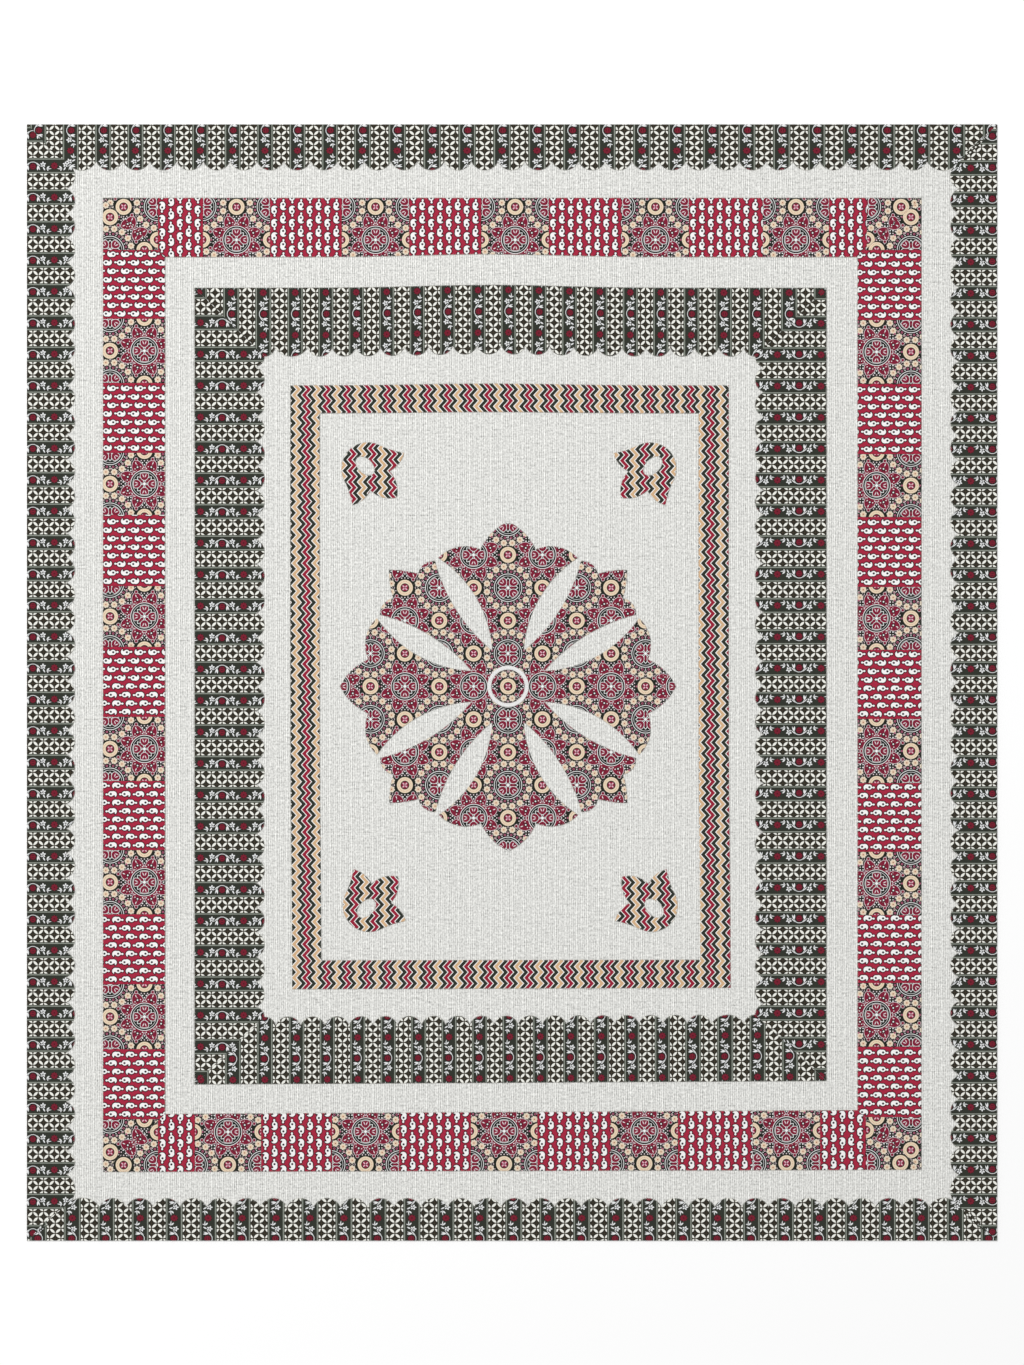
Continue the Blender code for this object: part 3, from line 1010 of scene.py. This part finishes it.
def striped_place(node, side, row):
    """What gives the points' places on the striped cloth."""
    edge = outer_edge(node, side)
    turned = 1 if side in ("bottom", "right") else -1

    def where(points):
        along, across = along_and_across(points, side)
        depth = np.abs(across - edge(along))
        band = spread(along, row.places, row.bands) * turned
        return band * STRIPE_PITCH, (depth - row.rose) * FLORAL_REPEAT / row.repeat
    return where


def add_striped_borders():
    for kind, rows, parts in (("outer_border", OUTER_PRINT, 5), ("inner_border", INNER_PRINT, 4)):
        for side in SIDES:
            node = f"{kind}_{side}"
            where = striped_place(node, side, rows[side])
            add_applique(node, "striped", where, boxes=strip_boxes(node, parts))


# Where each patchwork strip is seamed, along it.  Its first and last patches are
# mandala ones, mitred at the corner; paisley and mandala ones take turns between.
SEAMS = {
    "top": (-0.834, -0.728, -0.570, -0.401, -0.242, -0.072, 0.087, 0.259, 0.417, 0.591, 0.747,
            0.836),
    "bottom": (-0.834, -0.747, -0.591, -0.424, -0.266, -0.097, 0.060, 0.233, 0.391, 0.567, 0.726,
               0.834),
    "left": (-1.029, -0.864, -0.711, -0.546, -0.395, -0.232, -0.081, 0.084, 0.227, 0.395, 0.541,
             0.706, 0.857, 1.019),
    "right": (-1.024, -0.858, -0.708, -0.548, -0.399, -0.237, -0.086, 0.077, 0.225, 0.390, 0.538,
              0.704, 0.854, 1.019),
}
STAR_DEPTH = {"top": 0.0990, "bottom": 0.0940, "left": 0.0980, "right": 0.1060}
# The droplets' first eye past a patch's seam, where along the strip their heads turn
# the other way, and how far in from the strip's outer edge their eyes are before and
# after it.
DropletRow = namedtuple("DropletRow", "first turn eyes")
DROPLETS = {
    "top": DropletRow(0.0099, -0.790, (0.0228, 0.0323)),
    "bottom": DropletRow(0.0106, 0.790, (0.0323, 0.0236)),
    "left": DropletRow(0.0320, 0.000, (0.0361, 0.0245)),
    "right": DropletRow(0.0320, -0.004, (0.0263, 0.0161)),
}
SIDE_STRETCH = (1.042, 0.972)    # of the droplets on the left and right strips


def add_patches():
    for side in SIDES:
        node = "patch_border_" + side
        outline = outlines(node)[0]
        axis = int(side in UPRIGHT)
        seams = SEAMS[side]
        low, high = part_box(node)
        turn = DROPLETS[side].turn
        for number, (start, end) in enumerate(zip((low[axis],) + seams, seams + (high[axis],))):
            loop = cut(outline, axis, start + SEAM_GAP, end - SEAM_GAP)
            print_, where = patch_print(side, node, number, start, end)
            add_cloth(f"{node}_patch_{number + 1}", node, [smoothed(loop)], print_, where,
                      profile=SEWN_SEAM,
                      creases=[(axis, turn)] if start < turn < end else ())


def patch_print(side, node, number, start, end):
    """Which cloth a patch is cut from, and what gives its points' places there."""
    upright = side in UPRIGHT
    edge = outer_edge(node, side)
    inward = 1 if side in ("left", "bottom") else -1
    last = len(SEAMS[side])
    if number in (0, last) or number % 2 == 0:
        unit = LATTICE_DOWN if upright else LATTICE_ACROSS
        star = {0: end - unit, last: start + unit}.get(number, (start + end) / 2)
        across = float(edge(star)) + inward * STAR_DEPTH[side]
        x, y = (across, star) if upright else (star, across)
        return "mandala", measured_from((x - LATTICE_ACROSS, y))

    row = DROPLETS[side]

    def where(points):
        along, across = along_and_across(points, side)
        after = along > row.turn
        eye = edge(along) + inward * np.where(after, row.eyes[1], row.eyes[0])
        along = (along - start - row.first) * np.where(after, 1, -1)
        if upright:
            return along * SIDE_STRETCH[0], (eye - across) * SIDE_STRETCH[1]
        return along, across - eye
    return "paisley", where


FRAME_BAND = 0.0655              # of its top and bottom bands, less than their depth
FRAME_ORDER = (0, 3, 4, 7, 1, 2, 5, 6)      # its level bands' boxes, then its upright ones'
# Where a crimson stripe swings furthest left on the frame and on the four motifs.
FRAME_CHEVRON = (-0.2462, 0.6507)
MOTIF_CHEVRONS = {
    "corner_motif_top_left": (-0.3768, 0.5251), "corner_motif_top_right": (0.3601, 0.5227),
    "corner_motif_bottom_left": (-0.3714, -0.4836), "corner_motif_bottom_right": (0.3629, -0.4845)}


def measured_from(origin):
    """What gives the points' places from an origin."""
    return lambda points: (points[:, 0] - origin[0], points[:, 1] - origin[1])


def frame_boxes():
    """The frame's four bands, each in two parts."""
    (left, bottom), (right, top) = wide_box("chevron_frame")
    rows = (bottom, bottom + FRAME_BAND, 0.0, top - FRAME_BAND, top)
    boxes = boxes_between((left, 0.0, right), rows)
    return [boxes[number] for number in FRAME_ORDER]


def add_centre():
    add_applique("chevron_frame", "chevron", measured_from(FRAME_CHEVRON),
                 boxes=frame_boxes())
    for node, origin in MOTIF_CHEVRONS.items():
        add_applique(node, "chevron", measured_from(origin))
    centre = measured_from(MEDALLION_CENTRE)
    add_applique("medallion", "mandala", centre)
    add_applique("medallion_ring", "satin", centre)


# --- Zigzag stitches over the applique edges

STITCH = 0.0036                  # along the edge, there and back
STITCH_INSIDE = 0.0018
STITCH_OUTSIDE = 0.0010
THREAD_RADIUS = 0.00042
THREAD_LIFT = 0.6                # of its middle over the cloth, in radii
NEIGHBOUR = 0.0030               # a seam has another cloth this near, and no zigzag
SHORTEST_RUN = 4                 # places of a thread, half a stitch apart


def along_outline(loop):
    """Points half a stitch apart on an outline."""
    closed = np.vstack((loop, loop[:1]))
    reach = np.append(0.0, np.cumsum(np.linalg.norm(np.diff(closed, axis=0), axis=1)))
    stops = np.linspace(0.0, reach[-1], 2 * round(reach[-1] / STITCH), endpoint=False)
    return np.stack([np.interp(stops, reach, values) for values in closed.T], axis=1)


def thread_mesh(path, first):
    """The vertices and faces of a three-sided thread, numbered from the first."""
    way = np.gradient(path, axis=0)
    side = np.stack((way[:, 1], -way[:, 0], np.zeros(len(way))), axis=1)
    side /= np.maximum(np.linalg.norm(side, axis=1), TINY)[:, None]
    lines = []
    for angle in np.radians((90, 210, 330)):
        offset = side * math.cos(angle) + np.array((0.0, 0.0, math.sin(angle)))
        lines.append(path + THREAD_RADIUS * offset)
    last = first + 3 * len(path) - 3
    faces = [(here + a, here + b, here + b + 3, here + a + 3)
             for here in range(first, last, 3) for a, b in ((0, 1), (1, 2), (2, 0))]
    faces += [(first + 2, first + 1, first), (last, last + 1, last + 2)]
    return np.stack(lines, axis=1).reshape(-1, 3), faces


def runs(free):
    """Where the stitches start and end, round a closed outline."""
    if free.all():
        return [np.append(np.arange(len(free)), 0)]
    start = int(np.argmin(free))
    order = (np.arange(len(free)) + start) % len(free)
    parts = np.split(order, np.flatnonzero(np.diff(free[order].astype(int))) + 1)
    return [part for part in parts if free[part[0]] and len(part) >= SHORTEST_RUN]


def add_stitches(node, below, siblings=()):
    """Zigzags over a cloth's edges, but not where it is seamed to a sibling."""
    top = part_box(node)[1].z
    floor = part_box(below)[1].z
    verts, faces = [], []
    for loop in outlines(node):
        points = along_outline(smoothed(loop))
        off = outwards(points)
        beside = points + off * NEIGHBOUR
        free = inside(beside, outlines(below))
        for sibling in siblings:
            free &= ~inside(beside, outlines(sibling))
        inner = np.arange(len(points)) % 2 == 0
        spot = points + off * np.where(inner, -STITCH_INSIDE, STITCH_OUTSIDE)[:, None]
        height = np.where(inner, top, floor) + THREAD_RADIUS * THREAD_LIFT + lie(spot)
        path = np.column_stack((spot, height))
        for run in runs(free):
            made, sides = thread_mesh(path[run], len(verts))
            verts += made.tolist()
            faces += sides
    stitches = add_mesh(node + "_stitches", verts, faces)
    lay_print(stitches, measured_from((0.0, 0.0)))
    stitches.data.materials.append(CLOTHS["thread"])
    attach(stitches, "root")


def add_all_stitches():
    for kind in ("outer_border", "patch_border", "inner_border"):
        nodes = [f"{kind}_{side}" for side in SIDES]
        for node in nodes:
            add_stitches(node, "base_sheet", [other for other in nodes if other != node])
    for node in ("chevron_frame", "medallion", *MOTIF_CHEVRONS):
        add_stitches(node, "base_sheet")
    add_stitches("medallion_ring", "medallion")


# --- Stage

VIEW_LENGTH = 3.217              # of the floor, from the top to the bottom of the frame
LENS = 100.0                     # of the camera, in millimetres, as the sensor is
SENSOR = 36.0
CLIP_END = 50.0
FLOOR_HALF = 60.0
FLOOR_DROP = 0.0005
FLOOR_WHITE = (0.97, 0.97, 0.97, 1.0)
SURROUND_WHITE = (1.0, 1.0, 1.0, 1.0)
SURROUND_STRENGTH = 0.68
LAMP_PLACE = (-6.0, 6.5, 11.0)
LAMP_SIZE = 4.0
LAMP_WATTS = 1010.0


def add_stage():
    square = ((-1, -1), (1, -1), (1, 1), (-1, 1))
    verts = [(x * FLOOR_HALF, y * FLOOR_HALF, 0.0) for x, y in square]
    floor = add_mesh("floor", verts, [(0, 1, 2, 3)])
    floor.location.z = -FLOOR_DROP
    material = bpy.data.materials.new("floor")
    material.use_nodes = True
    set_inputs(material.node_tree.nodes["Principled BSDF"],
               {"Base Color": FLOOR_WHITE, "Roughness": 0.9, "Specular IOR Level": 0.0})
    floor.data.materials.append(material)


def add_camera():
    data = bpy.data.cameras.new("camera")
    data.lens = LENS
    data.sensor_width = SENSOR
    data.clip_end = CLIP_END
    camera = add_object("camera", data)
    camera.location.z = VIEW_LENGTH * LENS / SENSOR
    bpy.context.scene.camera = camera


def add_light():
    """An even white surround, and a broad soft light from the upper left."""
    world = bpy.data.worlds.new("studio")
    bpy.context.scene.world = world
    world.use_nodes = True
    set_inputs(world.node_tree.nodes["Background"],
               {"Color": SURROUND_WHITE, "Strength": SURROUND_STRENGTH})
    data = bpy.data.lights.new("window", "AREA")
    data.shape = "DISK"
    data.size = LAMP_SIZE
    data.energy = LAMP_WATTS
    lamp = add_object("window", data)
    lamp.location = LAMP_PLACE
    lamp.rotation_euler = lamp.location.to_track_quat("Z", "Y").to_euler()
    bpy.context.scene.view_settings.view_transform = "Standard"


def main():
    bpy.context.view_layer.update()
    add_stage()
    add_camera()
    add_light()
    CLOTHS.update(slub=slub_cloth(), striped=striped_cloth(), paisley=paisley_cloth(),
                  chevron=chevron_cloth(), mandala=mandala_cloth(), satin=satin_cloth(),
                  thread=thread_cloth())
    add_base()
    add_striped_borders()
    add_patches()
    add_centre()
    add_all_stitches()


CLOTHS = {}
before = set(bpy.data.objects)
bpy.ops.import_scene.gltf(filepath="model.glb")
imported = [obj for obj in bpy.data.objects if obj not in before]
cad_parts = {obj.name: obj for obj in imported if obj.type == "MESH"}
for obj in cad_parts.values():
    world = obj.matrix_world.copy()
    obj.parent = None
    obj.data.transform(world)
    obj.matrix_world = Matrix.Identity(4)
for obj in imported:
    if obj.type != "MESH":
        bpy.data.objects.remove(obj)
main()
